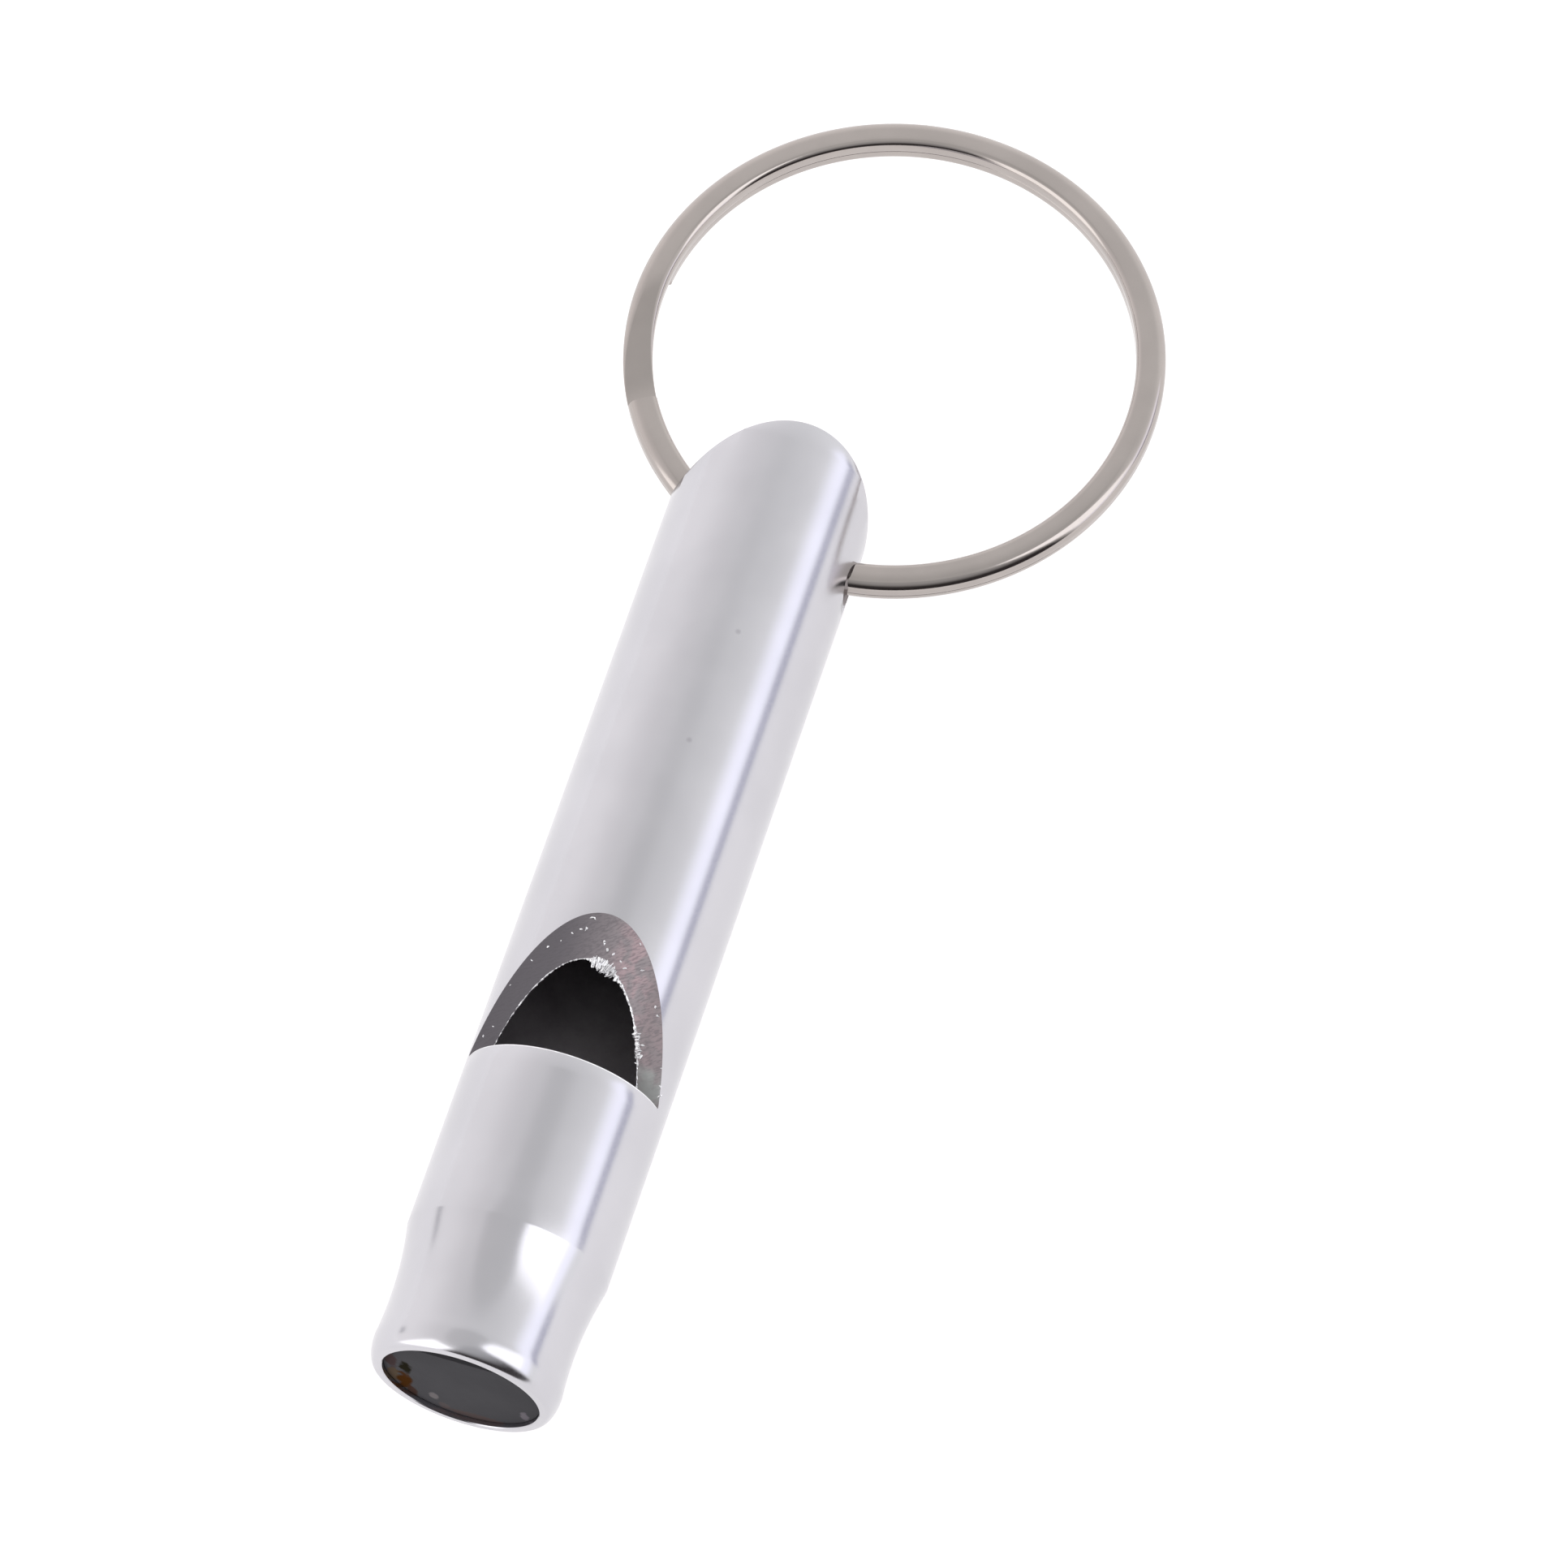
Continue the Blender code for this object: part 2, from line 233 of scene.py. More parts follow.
def grain_group():
    """Fine blasted or moulded grain, as a height, and slow cloudy changes of tone, as a share."""
    group = bpy.data.node_groups.new("surface_grain", "ShaderNodeTree")
    for name in ("Grain Size", "Cloud Size"):
        group.interface.new_socket(name, in_out="INPUT", socket_type="NodeSocketFloat")
    for name in ("Height", "Cloud"):
        group.interface.new_socket(name, in_out="OUTPUT", socket_type="NodeSocketFloat")
    given = group.nodes.new("NodeGroupInput")
    place = add_node(group, "ShaderNodeTexCoord").outputs["Object"]
    inputs = {"Vector": place, "Scale": given.outputs["Grain Size"], "Detail": 2.0, "Roughness": 0.6}
    grain = add_node(group, "ShaderNodeTexNoise", inputs)
    inputs = {"Vector": place, "Scale": given.outputs["Cloud Size"], "Detail": 3.0}
    clouds = add_node(group, "ShaderNodeTexNoise", inputs)
    ends = {"Height": grain.outputs["Fac"], "Cloud": clouds.outputs["Fac"]}
    add_node(group, "NodeGroupOutput", ends)
    return group


surface_grain = grain_group()


def worked_finish(name, dark, pale, rough, grain_size, cloud_size, grain_height, metallic=1.0):
    """A metal or plastic whose tone and gloss drift a little and whose surface has a fine grain."""
    finish = bpy.data.materials.new(name)
    finish.use_nodes = True
    tree = finish.node_tree
    grain = add_node(tree, "ShaderNodeGroup", node_tree=surface_grain)
    grain.inputs["Grain Size"].default_value = grain_size
    grain.inputs["Cloud Size"].default_value = cloud_size
    shader = tree.nodes["Principled BSDF"]
    shader.inputs["Metallic"].default_value = metallic
    share = fade(tree, grain.outputs["Cloud"], 0.3, 0.7)
    colour = blend_colours(tree, share, (*dark, 1), (*pale, 1))
    tree.links.new(colour, shader.inputs["Base Color"])
    tree.links.new(fade(tree, grain.outputs["Height"], 0.25, 0.75, *rough), shader.inputs["Roughness"])
    bump = add_node(tree, "ShaderNodeBump", {"Height": grain.outputs["Height"], "Strength": 1.0})
    bump.inputs["Distance"].default_value = grain_height
    tree.links.new(bump.outputs["Normal"], shader.inputs["Normal"])
    return finish


def speckle(finish, spots, size, colour):
    """Small pits in a finish, at given places of the piece."""
    tree = finish.node_tree
    shader = tree.nodes["Principled BSDF"]
    place = add_node(tree, "ShaderNodeTexCoord").outputs["Object"]
    base = shader.inputs["Base Color"].links[0].from_socket
    for spot in spots:
        apart = add_node(tree, "ShaderNodeVectorMath", {0: place, 1: spot}, operation="DISTANCE")
        share = fade(tree, apart.outputs["Value"], size, size * 0.2)
        base = blend_colours(tree, share, base, (*colour, 1))
    tree.links.new(base, shader.inputs["Base Color"])


satin_dark = (0.564, 0.558, 0.588)
satin_light = (0.592, 0.585, 0.616)
satin = worked_finish(
    "satin_aluminium", satin_dark, satin_light,
    rough=(0.16, 0.20), grain_size=9000, cloud_size=260, grain_height=0.00000018,
)
pits = (mouth + Vector((0.001127, 0.0359, 0.004357)), mouth + Vector((0.000704, 0.03015, 0.004445)))
speckle(satin, pits, size=0.00019, colour=(0.49, 0.48, 0.51))
reamed = worked_finish(
    "reamed_mouth", (0.62, 0.60, 0.61), (0.70, 0.68, 0.68),
    rough=(0.10, 0.18), grain_size=5000, cloud_size=500, grain_height=0.0000003,
)

tube_radius = 0.0045
tube_length = 0.0468
bore_radius = 0.0036
bore_depth = 0.0125
mouth_radius = 0.0035
neck_length = 0.0064
waist_place = 0.0028
waist_depth = 0.00038
lip_rounding = 0.0011
land_radius = 0.0038
edge_ease = 0.00004
reamed_start = 0.0005
reamed_slack = 0.0001
tube_steps = 40
neck_steps = 24
lip_steps = 16
body_sides = 256
weld = 0.000001
neck_arc = ((neck_length - waist_place) ** 2 + waist_depth ** 2) / (2 * waist_depth)


def neck_radius(place):
    """Radius of the waisted neck at a place along the axis."""
    return tube_radius - waist_depth + neck_arc - math.sqrt(neck_arc ** 2 - (place - waist_place) ** 2)


outline = [(0.0, tube_length), (tube_radius, tube_length)]
for i in range(1, tube_steps + 1):
    place = tube_length + (neck_length + edge_ease - tube_length) * i / tube_steps
    outline.append((tube_radius, place))
for i in range(neck_steps + 1):
    place = neck_length - edge_ease + (lip_rounding - neck_length + edge_ease) * i / neck_steps
    outline.append((neck_radius(place), place))
lip = neck_radius(lip_rounding) - land_radius
for i in range(1, lip_steps + 1):
    turn = math.pi / 2 * i / lip_steps
    outline.append((land_radius + lip * math.cos(turn), lip_rounding * (1 - math.sin(turn))))
outline += [(mouth_radius + edge_ease, 0.0), (mouth_radius, edge_ease), (mouth_radius, lip_rounding / 2)]
outline += [(bore_radius, lip_rounding), (bore_radius, bore_depth), (0.0, bore_depth)]

turned = bmesh.new()
points = [turned.verts.new((radius, place, 0.0)) for radius, place in outline]
for first, second in zip(points, points[1:]):
    turned.edges.new((first, second))
bmesh.ops.spin(
    turned,
    geom=turned.verts[:] + turned.edges[:],
    cent=(0, 0, 0),
    axis=(0, 1, 0),
    dvec=(0, 0, 0),
    angle=2 * math.pi,
    steps=body_sides,
    use_merge=True,
)
bmesh.ops.remove_doubles(turned, verts=turned.verts, dist=weld)
for face in turned.faces:
    middle = face.calc_center_median()
    inside = math.hypot(middle.x, middle.z) < bore_radius + reamed_slack
    if inside and reamed_start < middle.y < bore_depth + reamed_slack:
        face.material_index = 1
bmesh.ops.translate(turned, verts=turned.verts, vec=mouth)
blank = new_object("blank", mesh_from("blank", turned, (satin, reamed)))

# Window and tail: a chamber is bored on a little off the axis, and a wheel cuts the window, a straight
# wall and a rough, slightly hollow ramp. The wall's edge is eased and given the pale burr metal, partly
# the tone of fresh-cut metal and partly a painted highlight along the edge. The tail is rounded across,
# turned a little from the window's line, and drilled askew for the ring.
chamber_radius = 0.00363
chamber_shift = Vector((-0.000125, 0.0, 0.00002))
chamber_end = 0.03599
chamber_tip = 0.03815
window_place = 0.0143
window_length = 0.0068
window_depth = 0.00307
ramp_hollow = 0.045
foot_hollow = 0.0040
foot_reach = 0.0008
tail_radius = 0.0047
tail_turn = math.radians(17.4)
hole_radius = 0.00108
hole_place = tube_length - 0.00395
hole_skew = math.radians(15.2)
cutter_half_width = 0.012
cutter_overlap = 0.0001
keeper_length = 0.06
drill_length = 0.03
cutter_sides = 192
hole_sides = 96


def fade_straight(tree, value, start, end):
    """Goes evenly from 0 to 1 while the value goes from start to end."""
    inputs = {"Value": value, "From Min": start, "From Max": end}
    return add_node(tree, "ShaderNodeMapRange", inputs).outputs[0]


def milled_finish():
    """Rough wheel marks on the slightly hollow ramp, with a worn radius and a worn patch at its foot.

    Its colour is darker on its left and pinkish on its right, a painted reflection, and darker again towards
    its right outer edge; its places are counted from the middle of the mouth.
    """
    left_reflection_tone = (0.200, 0.186, 0.203, 1)
    middle_tone = (0.375, 0.335, 0.352, 1)
    warm_reflection_tone = (0.50, 0.385, 0.41, 1)
    outer_tone = (0.29, 0.252, 0.262, 1)
    mark_tone = (0.17, 0.158, 0.172, 1)
    worn_tone = (0.40, 0.415, 0.41, 1)
    mark_turn = 0.6
    mark_height = 0.0000011
    worn_start = window_place + 0.0016
    worn_end = window_place + 0.0011
    finish = bpy.data.materials.new("milled_ramp")
    finish.use_nodes = True
    tree = finish.node_tree
    shader = tree.nodes["Principled BSDF"]
    shader.inputs["Metallic"].default_value = 1.0
    place = add_node(tree, "ShaderNodeTexCoord").outputs["Object"]
    centred = add_node(tree, "ShaderNodeVectorMath", {0: place, 1: mouth}, operation="SUBTRACT").outputs[0]
    axes = add_node(tree, "ShaderNodeSeparateXYZ", {0: centred})
    inputs = {"Vector": centred, "Rotation": (0, 0, mark_turn), "Scale": (3.0, 0.7, 1.0)}
    stretched = add_node(tree, "ShaderNodeMapping", inputs, vector_type="TEXTURE")
    inputs = {"Vector": stretched.outputs[0], "Scale": 9000, "Detail": 4.0, "Roughness": 0.6}
    marks = add_node(tree, "ShaderNodeTexNoise", inputs).outputs["Fac"]
    inputs = {"Vector": centred, "Scale": 1500, "Detail": 3.0}
    patches = add_node(tree, "ShaderNodeTexNoise", inputs).outputs["Fac"]
    side = axes.outputs["X"]
    along = axes.outputs["Y"]
    # Painted reflection: the ramp's colour goes from a dark left through a middle grey to a pinkish patch on
    # the right.
    colour = blend_colours(tree, fade(tree, side, -0.0020, 0.0014), left_reflection_tone, middle_tone)
    warm_reflection_share = work_out(tree, "MULTIPLY", fade(tree, patches, 0.42, 0.58), fade(tree, side, 0.0002, 0.0014))
    colour = blend_colours(tree, warm_reflection_share, colour, warm_reflection_tone)
    colour = blend_colours(tree, fade(tree, side, 0.0019, 0.0029, 0.0, 0.8), colour, outer_tone)
    colour = blend_colours(tree, fade(tree, marks, 0.38, 0.56, 0.5, 0.0), colour, mark_tone)
    worn_side = fade(tree, side, 0.0025, 0.0030)
    worn = work_out(tree, "MULTIPLY", worn_side, fade(tree, along, worn_start, worn_end))
    worn = work_out(tree, "MULTIPLY", worn, fade(tree, patches, 0.35, 0.6, 0.2, 0.95))
    colour = blend_colours(tree, worn, colour, worn_tone)
    tree.links.new(colour, shader.inputs["Base Color"])
    tree.links.new(fade(tree, marks, 0.3, 0.7, 0.42, 0.28), shader.inputs["Roughness"])
    across_curve = work_out(tree, "POWER", side, 2.0)
    near_wall = fade_straight(tree, along, window_place + foot_reach, window_place)
    foot_curve = work_out(tree, "POWER", near_wall, 2.0)
    height = work_out(tree, "MULTIPLY", across_curve, 0.5 / ramp_hollow)
    height = work_out(tree, "MULTIPLY_ADD", foot_curve, foot_reach ** 2 * 0.5 / foot_hollow, height)
    height = work_out(tree, "MULTIPLY_ADD", marks, mark_height, height)
    bump = add_node(tree, "ShaderNodeBump", {"Height": height, "Strength": 1.0, "Distance": 1.0})
    tree.links.new(bump.outputs["Normal"], shader.inputs["Normal"])
    return finish


milled = milled_finish()
ground = worked_finish(
    "ground_tail", satin_dark, satin_light,
    rough=(0.32, 0.40), grain_size=9000, cloud_size=260, grain_height=0.0000003,
)
bored = worked_finish(
    "bored_aluminium", (0.36, 0.34, 0.36), (0.44, 0.42, 0.44),
    rough=(0.5, 0.6), grain_size=7000, cloud_size=500, grain_height=0.000001,
)
# Pale bare metal for the burr, also laid on the wall's eased edge, where it is partly a painted highlight.
bright = worked_finish(
    "burr_metal_and_edge_highlight", (0.80, 0.80, 0.82), (0.95, 0.95, 0.97),
    rough=(0.2, 0.35), grain_size=16000, cloud_size=3000, grain_height=0.000003,
)

chamber_start = bore_depth - cutter_overlap
chamber_outline = (
    (0.0, chamber_start), (chamber_radius, chamber_start), (chamber_radius, chamber_end), (0.0, chamber_tip),
)
chamber = bmesh.new()
points = [chamber.verts.new((radius, place, 0.0)) for radius, place in chamber_outline]
for first, second in zip(points, points[1:]):
    chamber.edges.new((first, second))
bmesh.ops.spin(
    chamber,
    geom=chamber.verts[:] + chamber.edges[:],
    cent=(0, 0, 0),
    axis=(0, 1, 0),
    dvec=(0, 0, 0),
    angle=2 * math.pi,
    steps=cutter_sides,
    use_merge=True,
)
bmesh.ops.remove_doubles(chamber, verts=chamber.verts, dist=weld)
bmesh.ops.translate(chamber, verts=chamber.verts, vec=mouth + chamber_shift)
chamber_cutter = new_object("chamber", mesh_from("chamber", chamber, (bored,)))

wedge = bmesh.new()
foot = tube_radius - window_depth
wedge_reach = 3.0
corners = [
    (window_place, foot),
    (window_place + window_length * wedge_reach, foot + window_depth * wedge_reach),
    (window_place, foot + window_depth * wedge_reach),
]
side = wedge.faces.new([wedge.verts.new((-cutter_half_width, y, z)) for y, z in corners])
grown = bmesh.ops.extrude_face_region(wedge, geom=[side])["geom"]
moved = [item for item in grown if isinstance(item, bmesh.types.BMVert)]
bmesh.ops.translate(wedge, verts=moved, vec=(2 * cutter_half_width, 0, 0))
bmesh.ops.translate(wedge, verts=wedge.verts, vec=mouth)
wedge_cutter = new_object("wedge", mesh_from("wedge", wedge, (milled,)))

keeper = bmesh.new()
bmesh.ops.create_circle(keeper, cap_ends=True, segments=cutter_sides, radius=tail_radius)
for point in keeper.verts:
    if point.co.y < -0.00001:
        point.co.y = -keeper_length
grown = bmesh.ops.extrude_face_region(keeper, geom=keeper.faces[:])["geom"]
moved = [item for item in grown if isinstance(item, bmesh.types.BMVert)]
bmesh.ops.translate(keeper, verts=moved, vec=(0, 0, 2 * cutter_half_width))
bmesh.ops.translate(keeper, verts=keeper.verts, vec=(0, tube_length - tail_radius, -cutter_half_width))
bmesh.ops.rotate(keeper, verts=keeper.verts, cent=(0, 0, 0), matrix=Matrix.Rotation(tail_turn, 3, "Y"))
bmesh.ops.translate(keeper, verts=keeper.verts, vec=mouth)
tail_keeper = new_object("tail_keeper", mesh_from("tail_keeper", keeper, (ground,)))

drill = bmesh.new()
bmesh.ops.create_cone(
    drill, cap_ends=True, segments=hole_sides, radius1=hole_radius, radius2=hole_radius, depth=drill_length
)
bmesh.ops.rotate(drill, verts=drill.verts, cent=(0, 0, 0), matrix=Matrix.Rotation(math.pi / 2, 3, "Y"))
bmesh.ops.rotate(drill, verts=drill.verts, cent=(0, 0, 0), matrix=Matrix.Rotation(-hole_skew, 3, "Z"))
bmesh.ops.translate(drill, verts=drill.verts, vec=mouth + Vector((0, hole_place, 0)))
drill_cutter = new_object("drill", mesh_from("drill", drill, (satin,)))

steps = (
    (chamber_cutter, "DIFFERENCE"),
    (wedge_cutter, "DIFFERENCE"),
    (tail_keeper, "INTERSECT"),
    (drill_cutter, "DIFFERENCE"),
)
for cutter, operation in steps:
    cut = blank.modifiers.new(cutter.name, "BOOLEAN")
    cut.operation = operation
    cut.solver = "EXACT"
    cut.material_mode = "TRANSFER"
    cut.object = cutter
bpy.context.view_layer.update()
cut_mesh = bpy.data.meshes.new_from_object(blank.evaluated_get(bpy.context.evaluated_depsgraph_get()))
for spare in (blank, chamber_cutter, wedge_cutter, tail_keeper, drill_cutter):
    bpy.data.objects.remove(spare)
cut_mesh.materials.append(bright)
milled_index = cut_mesh.materials.find("milled_ramp")
edge_highlight_index = cut_mesh.materials.find("burr_metal_and_edge_highlight")
cut_weld = 0.000003
tail_start = 0.037
skin_radius = 0.0044
wall_slack = 0.000004
tail_ease = 0.00003
cut_ease = 0.00008
eased = bmesh.new()
eased.from_mesh(cut_mesh)
bmesh.ops.remove_doubles(eased, verts=eased.verts, dist=cut_weld)
bmesh.ops.dissolve_degenerate(eased, edges=eased.edges, dist=cut_weld)
tail_edges = []
cut_edges = []
for edge in eased.edges:
    where = (edge.verts[0].co + edge.verts[1].co) / 2 - mouth
    if len(edge.link_faces) == 2 and edge.calc_face_angle() > math.radians(25):
        from_axis = where.x ** 2 + where.z ** 2
        if where.y > tail_start and from_axis > bore_radius ** 2:
            tail_edges.append(edge)
        if abs(where.y - window_place) < wall_slack and from_axis > skin_radius ** 2:
            cut_edges.append(edge)
# The eased edge along the wall takes the pale burr metal: partly fresh-cut metal, partly a painted
# highlight.
for sharp_edges, width, material in ((tail_edges, tail_ease, -1), (cut_edges, cut_ease, edge_highlight_index)):
    bmesh.ops.bevel(
        eased,
        geom=sharp_edges,
        offset=width,
        offset_type="OFFSET",
        affect="EDGES",
        segments=2,
        profile=0.5,
        material=material,
        clamp_overlap=False,
    )
for face in eased.faces:
    face.smooth = face.material_index != milled_index
for edge in eased.edges:
    if len(edge.link_faces) == 2:
        first, second = edge.link_faces
        parted = (first.material_index == milled_index) != (second.material_index == milled_index)
        edge.smooth = not parted and edge.calc_face_angle() < math.radians(28)
eased.to_mesh(cut_mesh)
eased.free()
cut_mesh.name = "turned_body"
turned_body = new_object("turned_body", cut_mesh)
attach(turned_body, "whistle")
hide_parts("whistle_body")

# Burr: the thin ragged edge of metal that the wheel leaves where the ramp breaks into the chamber,
# heaviest on the right, and a few chips of it pressed onto the ramp and along its outer edge. The seed
# makes the crumple come out the same in each run.
burr_points = 760
burr_sides = 7
burr_end = 0.98
slow_wave = 0.14
quick_wave = 0.45
least_thickness = 0.00003
burr_sink = 0.00001
crumple_grain = 9000
crumple_share = 0.19
crumple_seed = 1
thickness_share = 0.22
chip_radius = 0.000028
chip_grain = 14000
chip_flatness = (1.4, 0.65, 0.35)
slope = window_depth / window_length
opening = math.acos((foot - chamber_shift.z) / chamber_radius)
burr_widths = (
    (-1.0, 0.05), (-0.12, 0.06), (-0.05, 0.14), (0.0, 0.40), (0.09, 0.58), (0.22, 0.44), (0.33, 0.20),
    (0.42, 0.10), (0.62, 0.09), (0.67, 0.26), (0.77, 0.26), (0.82, 0.08), (1.0, 0.06),
)


def burr_width(share):
    """How wide the burr is, in millimetres, from the opening's left end, at -1, to its right end, at 1."""
    for (start, low), (end, high) in zip(burr_widths, burr_widths[1:]):
        if share <= end:
            return low + (high - low) * (share - start) / (end - start)
    return burr_widths[-1][1]


def edge_place(share):
    """A place along the edge where the ramp breaks into the chamber, as across, along and up."""
    x = chamber_shift.x + chamber_radius * math.sin(share * opening)
    z = chamber_shift.z + chamber_radius * math.cos(share * opening)
    return Vector((x, window_place + (z - foot) / slope, z))


ramp_normal = Vector((0.0, -slope, 1.0)).normalized()
noise.seed_set(crumple_seed)
chips = bmesh.new()
bmesh.ops.create_grid(chips, x_segments=burr_points - 1, y_segments=burr_sides, size=1.0)
for vert in chips.verts:
    i = round((vert.co.x + 1) / 2 * (burr_points - 1))
    turn = (vert.co.y + 1) * math.pi
    share = 2 * burr_end * i / (burr_points - 1) - burr_end
    along = (edge_place(share + 0.002) - edge_place(share - 0.002)).normalized()
    inward = along.cross(ramp_normal)
    slow = noise.noise(Vector((i * slow_wave, 1.7, 0.0)))
    quick = noise.noise(Vector((i * quick_wave, 4.4, 0.0)))
    width = 0.001 * burr_width(share) * max(0.4, 0.9 + 0.7 * (slow + 0.7 * quick))
    thickness = least_thickness + thickness_share * width
    overhang = 0.14 if share < 0.5 else -0.2
    centre = edge_place(share) + inward * (width * overhang) - ramp_normal * burr_sink
    around = inward * (width / 2 * math.cos(turn)) + ramp_normal * (thickness / 2 * math.sin(turn))
    facing = Vector((math.cos(turn), math.sin(turn), 0.0))
    crumple = noise.noise_vector(centre * crumple_grain + facing * 1.3)
    vert.co = mouth + centre + around + crumple * (crumple_share * width)
bmesh.ops.remove_doubles(chips, verts=chips.verts, dist=weld / 2)
bmesh.ops.holes_fill(chips, edges=[edge for edge in chips.edges if edge.is_boundary], sides=0)
chip_places = (
    (-0.62, 6.48, 3.6), (-0.80, 6.03, 3.2), (-1.37, 5.70, 2.2), (-2.21, 4.95, 2.0), (0.10, 5.70, 3.8),
    (-1.05, 5.95, 1.6), (-1.75, 5.30, 1.3), (-2.75, 4.25, 1.5), (-3.35, 3.10, 1.2), (1.63, 6.00, 1.8),
    (2.02, 5.04, 2.4), (2.98, 3.81, 2.2), (3.19, 3.48, 2.6), (0.62, 5.35, 3.0), (0.98, 5.15, 2.4),
    (1.25, 4.92, 2.6), (0.30, 5.45, 2.8), (2.92, 2.20, 3.0), (2.98, 1.80, 3.2), (2.86, 1.45, 2.4),
    (4.20, 0.50, 3.4), (4.10, 0.85, 3.0), (3.95, 1.55, 1.8), (-3.90, 0.90, 2.0), (-3.60, 1.35, 1.8),
)
for i, (x, along, size) in enumerate(chip_places):
    centre = mouth + Vector((x / 1000, window_place + along / 1000, foot + along / 1000 * slope))
    chip = bmesh.ops.create_icosphere(chips, subdivisions=1, radius=size * chip_radius)["verts"]
    for vert in chip:
        vert.co *= 1.0 + 1.1 * noise.noise(vert.co * chip_grain + Vector((i * 1.7, 0.0, 0.0)))
    turn = Matrix.Rotation(i * 1.3, 3, "Z") @ Matrix.Diagonal(chip_flatness)
    bmesh.ops.transform(chips, matrix=turn.to_4x4(), verts=chip)
    bmesh.ops.translate(chips, verts=chip, vec=centre)
ramp_burr = new_object("ramp_burr", mesh_from("ramp_burr", chips, (bright,)))
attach(ramp_burr, "whistle")

# Plug: the block moulded in dark grey plastic and pressed into the bore from the mouth. The flat along
# its top leaves the windway, and its front is what shows in the mouth. Patches painted on that front
# stand in for light: brown, orange and dark ones at the left are a painted reflection of the bore's wall,
# two pale specks are painted highlights, and pale brownish ones along the bottom are painted light that
# lifts the lip's shadow.
plug_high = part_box("fipple_plug")[1]
plug_radius = 0.00349
plug_recess = 0.00024
plug_front = mouth.y + plug_recess
plug_ease = 0.000015
plug_sides = 128
plug_shape = bmesh.new()
bmesh.ops.create_cone(
    plug_shape,
    cap_ends=True,
    segments=plug_sides,
    radius1=plug_radius,
    radius2=plug_radius,
    depth=plug_high.y - plug_front,
)
onto_side = Matrix.Rotation(math.pi / 2, 3, "X")
bmesh.ops.rotate(plug_shape, verts=plug_shape.verts, cent=(0, 0, 0), matrix=onto_side)
middle_y = (plug_front + plug_high.y) / 2
bmesh.ops.translate(plug_shape, verts=plug_shape.verts, vec=(mouth.x, middle_y, mouth.z))
parted = bmesh.ops.bisect_plane(
    plug_shape,
    geom=plug_shape.verts[:] + plug_shape.edges[:] + plug_shape.faces[:],
    plane_co=(0, 0, plug_high.z),
    plane_no=(0, 0, 1),
    clear_outer=True,
)
rim = [item for item in parted["geom_cut"] if isinstance(item, bmesh.types.BMEdge)]
bmesh.ops.contextual_create(plug_shape, geom=rim)
bmesh.ops.recalc_face_normals(plug_shape, faces=plug_shape.faces)
ends = [edge for edge in plug_shape.edges if edge.calc_face_angle(0.0) > math.radians(30)]
bmesh.ops.bevel(
    plug_shape, geom=ends, offset=plug_ease, affect="EDGES", segments=2, profile=0.5, material=-1
)


def paint_light_patch(finish, centre, reach, colour, strength):
    """A painted patch with a ragged edge in a finish, for painted reflections, highlights and lifted shade,
    its reach given as half sizes along X, Y and Z.
    """
    tree = finish.node_tree
    shader = tree.nodes["Principled BSDF"]
    place = add_node(tree, "ShaderNodeTexCoord").outputs["Object"]
    scale = [1 / size for size in reach]
    shift = [-middle / size for middle, size in zip(centre, reach)]
    inputs = {"Vector": place, "Location": shift, "Scale": scale}
    patch = add_node(tree, "ShaderNodeMapping", inputs).outputs[0]
    apart = add_node(tree, "ShaderNodeVectorMath", {0: patch}, operation="LENGTH").outputs["Value"]
    inputs = {"Vector": place, "Scale": 2600, "Detail": 3.0}
    ragged = add_node(tree, "ShaderNodeTexNoise", inputs).outputs["Fac"]
    apart = work_out(tree, "MULTIPLY_ADD", ragged, 1.4, apart)
    share = fade(tree, apart, start=1.9, end=1.35, high=strength)
    base = shader.inputs["Base Color"].links[0].from_socket
    tree.links.new(blend_colours(tree, share, base, (*colour, 1)), shader.inputs["Base Color"])


moulded = worked_finish(
    "moulded_grey", (0.075, 0.074, 0.080), (0.080, 0.079, 0.085),
    rough=(0.6, 0.7), grain_size=12000, cloud_size=700, grain_height=0.000001, metallic=0.0,
)
moulded.node_tree.nodes["Principled BSDF"].inputs["Specular IOR Level"].default_value = 0.0
painted_light_depth = 0.001
# Painted light on the plug's front, as place across and up, half sizes, colour and strength: the first five,
# brown, orange and dark at the left, paint a reflection of the bore's wall; the pale ones at (-1.38, -2.17)
# and (2.72, -1.57) paint highlights; the pale brownish ones along the bottom paint light that lifts the
# lip's shadow.
painted_light_spots = (
    ((-3.15, 0.55), (0.28, 0.80), (0.060, 0.038, 0.038), 0.85),
    ((-3.10, -1.00), (0.30, 0.70), (0.100, 0.068, 0.040), 0.8),
    ((-2.62, -1.35), (0.34, 0.95), (0.060, 0.023, 0.006), 1.0),
    ((-2.34, -2.35), (0.26, 0.60), (0.056, 0.030, 0.022), 0.9),
    ((-2.52, 0.15), (0.28, 0.58), (0.018, 0.016, 0.010), 1.0),
    ((-1.38, -2.17), (0.20, 0.35), (0.175, 0.160, 0.165), 0.9),
    ((-0.95, -2.95), (0.25, 0.30), (0.110, 0.090, 0.090), 0.7),
    ((0.70, -3.22), (1.70, 0.30), (0.100, 0.070, 0.066), 0.7),
    ((2.72, -1.57), (0.20, 0.40), (0.185, 0.168, 0.190), 0.9),
)
for (x, z), (wide, high), colour, strength in painted_light_spots:
    centre = mouth + Vector((x / 1000, plug_recess, z / 1000))
    paint_light_patch(moulded, centre, (wide / 1000, painted_light_depth, high / 1000), colour, strength)
plug_mesh = mesh_from("windway_plug", plug_shape, (moulded,))
plug_mesh.shade_smooth()
plug_mesh.set_sharp_from_angle(angle=math.radians(30))
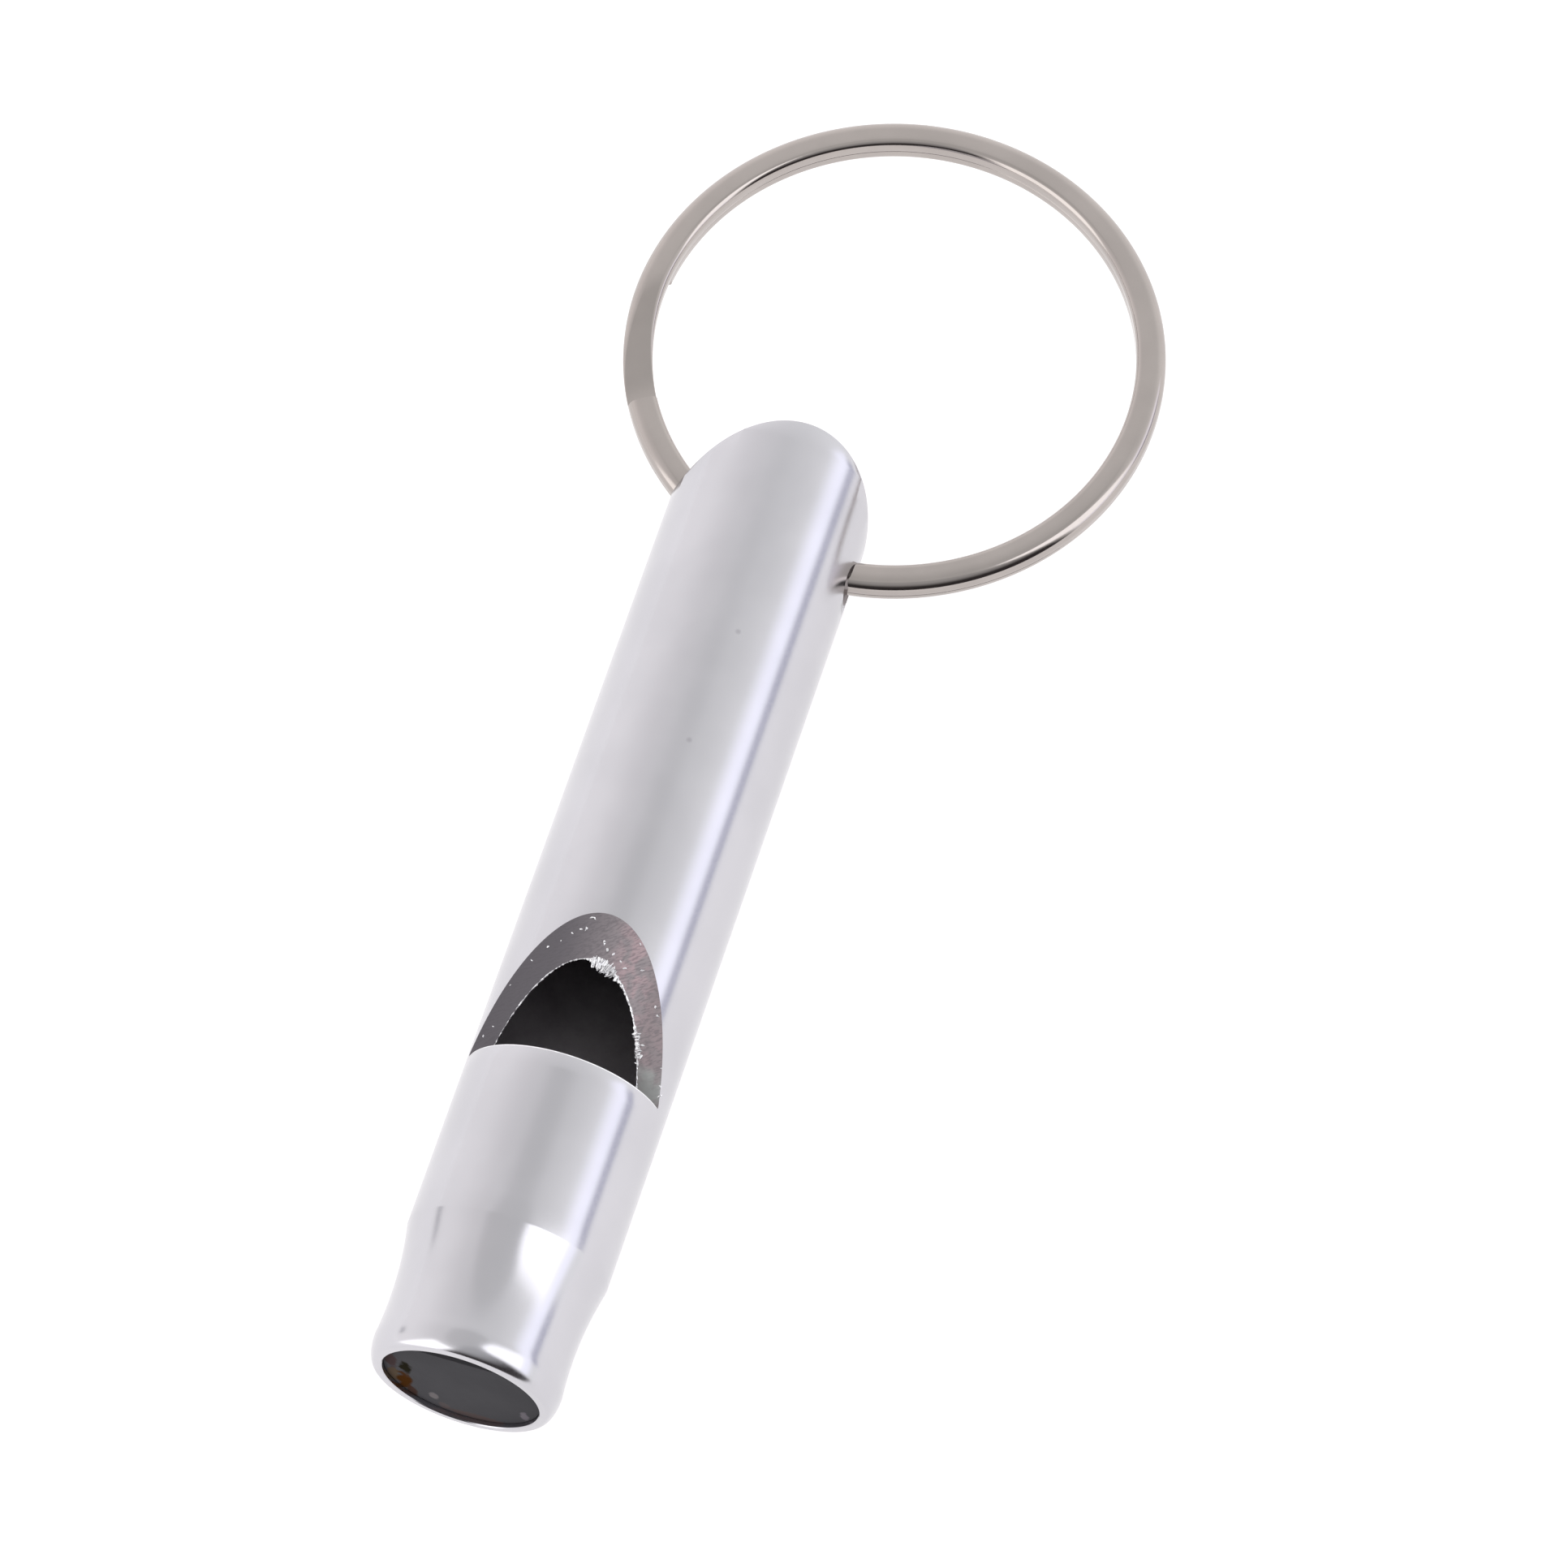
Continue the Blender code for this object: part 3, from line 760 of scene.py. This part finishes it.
windway_plug = new_object("windway_plug", plug_mesh)
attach(windway_plug, "whistle")
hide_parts("fipple_plug")

# Split ring: one length of flat spring steel wire, wound nearly twice round on itself with a short step
# between its layers. They lie closed and are tumbled and nickel plated together, so that the wire is
# rounded where it faces out of the stack, most of all round the ring's outside.
ring_low, ring_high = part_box("split_ring")
ring_middle = (ring_low + ring_high) / 2
wire_width = 0.00134
mean_radius = ring_high.x - ring_middle.x - wire_width / 2
layer_height = 0.00064
layer_gap = 0.000008
seam_softness = 0.000025
inner_softness = 0.00030
outer_softness = 0.00052
step_arc = math.radians(34.5)
step_place = math.radians(192)
turn_steps = 240
corner_steps = 8


def wire_section(softness):
    """The wire's section, its corners rounded from the lower inner one on, as places round its middle."""
    half_width, half_height = wire_width / 2, layer_height / 2
    places = (
        (-half_width, -half_height), (half_width, -half_height),
        (half_width, half_height), (-half_width, half_height),
    )
    flat = bmesh.new()
    flat.faces.new([flat.verts.new((x, z, 0.0)) for x, z in places])
    for (x, z), size in zip(places, softness):
        corner = min(flat.verts, key=lambda vert: (vert.co - Vector((x, z, 0.0))).length)
        bmesh.ops.bevel(
            flat,
            geom=[corner],
            offset=size,
            affect="VERTICES",
            segments=corner_steps,
            profile=0.5,
            material=-1,
        )
    flat.faces.ensure_lookup_table()
    section = [Vector((vert.co.x, vert.co.y)) for vert in flat.faces[0].verts]
    flat.free()
    return section


lower_section = wire_section((inner_softness, outer_softness, seam_softness, seam_softness))
upper_section = wire_section((seam_softness, seam_softness, outer_softness, inner_softness))
wire = bmesh.new()
lift = -(layer_height + layer_gap) / 2
start_angle = step_place - step_arc / 2
wire.faces.new([wire.verts.new((mean_radius + place.x, 0.0, lift + place.y)) for place in lower_section])
bmesh.ops.rotate(wire, verts=wire.verts, cent=(0, 0, 0), matrix=Matrix.Rotation(start_angle, 3, "Z"))
step_size = 2 * math.pi / turn_steps
climb_steps = round(step_arc / step_size)
whole_steps = turn_steps - climb_steps
latest = wire.faces[:]
section = lower_section
climbed = 0.0
for i in range(1, 2 * whole_steps + climb_steps + 1):
    share = min(max((i - whole_steps) / climb_steps, 0.0), 1.0)
    eased_share = (1 - math.cos(math.pi * share)) / 2
    climb = (layer_height + layer_gap) * (eased_share - climbed)
    grown = bmesh.ops.spin(
        wire,
        geom=latest,
        cent=(0, 0, 0),
        axis=(0, 0, -1),
        dvec=(0, 0, climb),
        angle=step_size,
        steps=1,
    )["geom_last"]
    if i > 1:
        bmesh.ops.delete(wire, geom=latest, context="FACES_ONLY")
    latest = [item for item in grown if isinstance(item, bmesh.types.BMFace)]
    lift += climb
    if eased_share != climbed:
        next_section = [low.lerp(high, eased_share) for low, high in zip(lower_section, upper_section)]
        for vert in latest[0].verts:
            spot = Vector((math.hypot(vert.co.x, vert.co.y) - mean_radius, vert.co.z - lift))
            nearest = min(range(len(section)), key=lambda k: (section[k] - spot).length)
            radial = Vector((vert.co.x, vert.co.y, 0.0)).normalized()
            vert.co = radial * (mean_radius + next_section[nearest].x)
            vert.co.z = lift + next_section[nearest].y
        section = next_section
        climbed = eased_share
bmesh.ops.translate(wire, verts=wire.verts, vec=ring_middle)
nickel = worked_finish(
    "nickel_plate", (0.43, 0.392, 0.372), (0.46, 0.42, 0.398),
    rough=(0.08, 0.13), grain_size=5000, cloud_size=420, grain_height=0.0000003,
)
wire_mesh = mesh_from("wound_ring", wire, (nickel,))
wire_mesh.shade_smooth()
wire_mesh.set_sharp_from_angle(angle=math.radians(35))
wound_ring = new_object("wound_ring", wire_mesh)
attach(wound_ring, "ring")
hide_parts("split_ring")
